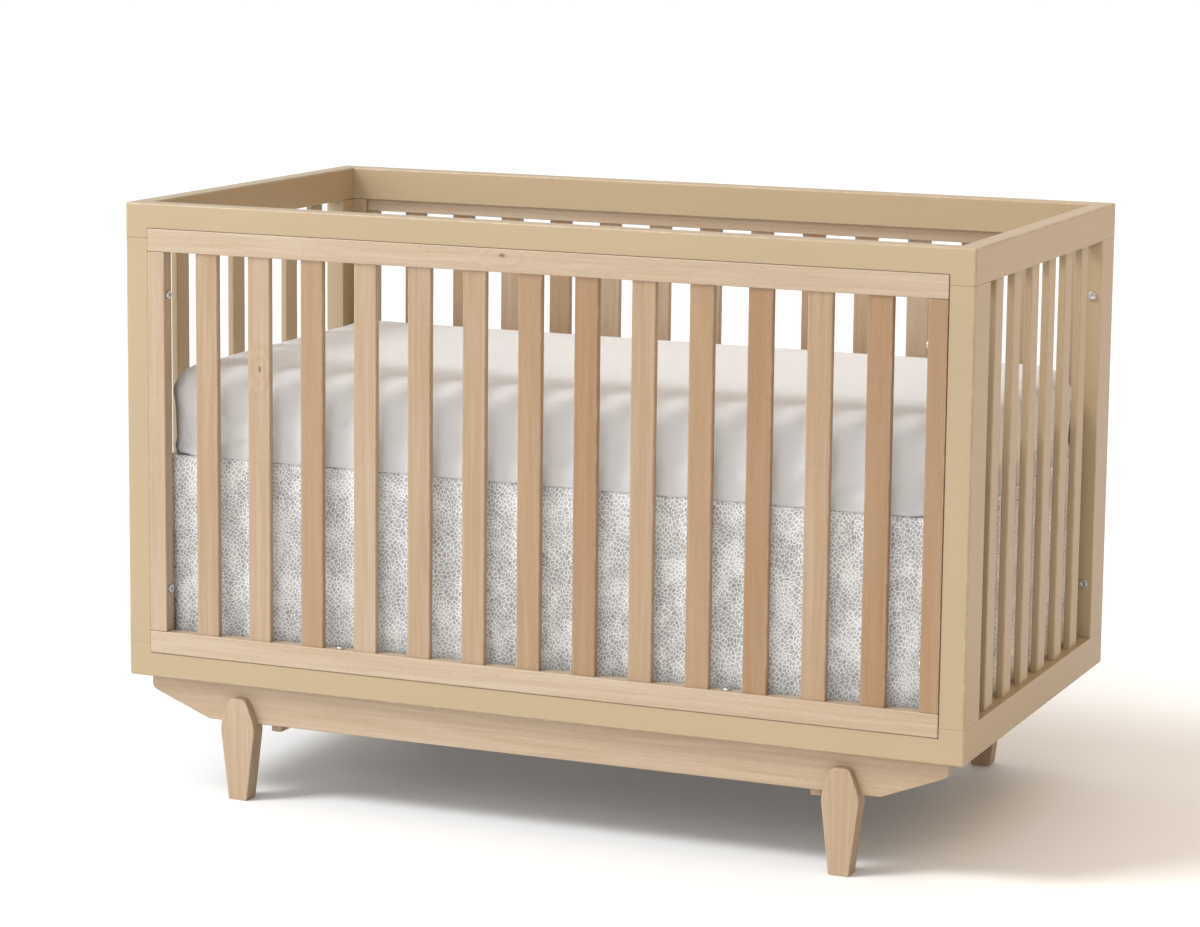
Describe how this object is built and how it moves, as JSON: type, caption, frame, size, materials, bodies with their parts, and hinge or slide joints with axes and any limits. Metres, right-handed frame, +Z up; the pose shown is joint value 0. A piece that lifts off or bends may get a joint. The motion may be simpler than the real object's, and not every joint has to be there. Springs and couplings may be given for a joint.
{
  "type": "baby crib",
  "caption": "Slatted baby crib with a painted outer frame, beech side panels and base, tapered legs, and a height-adjustable mattress support with a dressed mattress.",
  "frame": {"origin": "on the floor, below the middle of the crib", "axes": "+X along the crib's length to its right-hand end, -Y out of its front, +Z up"},
  "size_m": [1.4, 0.769, 0.952],
  "materials": {
    "painted_wood": "satin sand-coloured paint on wood",
    "natural_beech": "clear matt lacquer on natural beech",
    "steel": "zinc-plated steel",
    "mattress_ticking": "white cotton ticking over foam",
    "sheet_cotton": "warm white plain-weave cotton",
    "skirt_print": "white cotton with a small grey scale print"
  },
  "bodies": {
    "crib_frame": {"base_beam_front": "natural_beech", "base_beam_rear": "natural_beech", "base_cross_rail_left": "natural_beech", "base_cross_rail_right": "natural_beech", "bottom_rail_front": "painted_wood", "bottom_rail_left": "painted_wood", "bottom_rail_rear": "painted_wood", "bottom_rail_right": "painted_wood", "end_slat_left_01": "painted_wood", "end_slat_left_02": "painted_wood", "end_slat_left_03": "painted_wood", "end_slat_left_04": "painted_wood", "end_slat_left_05": "painted_wood", "end_slat_left_06": "painted_wood", "end_slat_right_01": "painted_wood", "end_slat_right_02": "painted_wood", "end_slat_right_03": "painted_wood", "end_slat_right_04": "painted_wood", "end_slat_right_05": "painted_wood", "end_slat_right_06": "painted_wood", "front_panel_bottom_rail": "natural_beech", "front_panel_stile_left": "natural_beech", "front_panel_stile_right": "natural_beech", "front_panel_top_rail": "natural_beech", "front_slat_01": "natural_beech", "front_slat_02": "natural_beech", "front_slat_03": "natural_beech", "front_slat_04": "natural_beech", "front_slat_05": "natural_beech", "front_slat_06": "natural_beech", "front_slat_07": "natural_beech", "front_slat_08": "natural_beech", "front_slat_09": "natural_beech", "front_slat_10": "natural_beech", "front_slat_11": "natural_beech", "front_slat_12": "natural_beech", "front_slat_13": "natural_beech", "leg_front_left": "natural_beech", "leg_front_right": "natural_beech", "leg_rear_left": "natural_beech", "leg_rear_right": "natural_beech", "panel_bolt_left": "steel", "panel_bolt_right": "steel", "post_front_left": "painted_wood", "post_front_right": "painted_wood", "post_rear_left": "painted_wood", "post_rear_right": "painted_wood", "rear_panel": "natural_beech", "top_rail_front": "painted_wood", "top_rail_left": "painted_wood", "top_rail_rear": "painted_wood", "top_rail_right": "painted_wood"},
    "mattress_support": {"support_frame": "steel", "support_deck": "steel", "skirt_front": "skirt_print", "skirt_rear": "skirt_print", "skirt_left": "skirt_print", "skirt_right": "skirt_print"},
    "bedding": {"mattress": "mattress_ticking", "fitted_sheet": "sheet_cotton"}
  },
  "joints": [
    {"name": "support_height", "type": "slide", "parent": "crib_frame", "child": "mattress_support", "axis": [0, 0, 1], "range_m": [-0.255, 0], "deforming": ["skirt_front", "skirt_rear", "skirt_left", "skirt_right"]},
    {"name": "mattress_lift", "type": "slide", "parent": "mattress_support", "child": "bedding", "axis": [0, 0, 1], "range_m": [0, 0.45]}
  ]
}
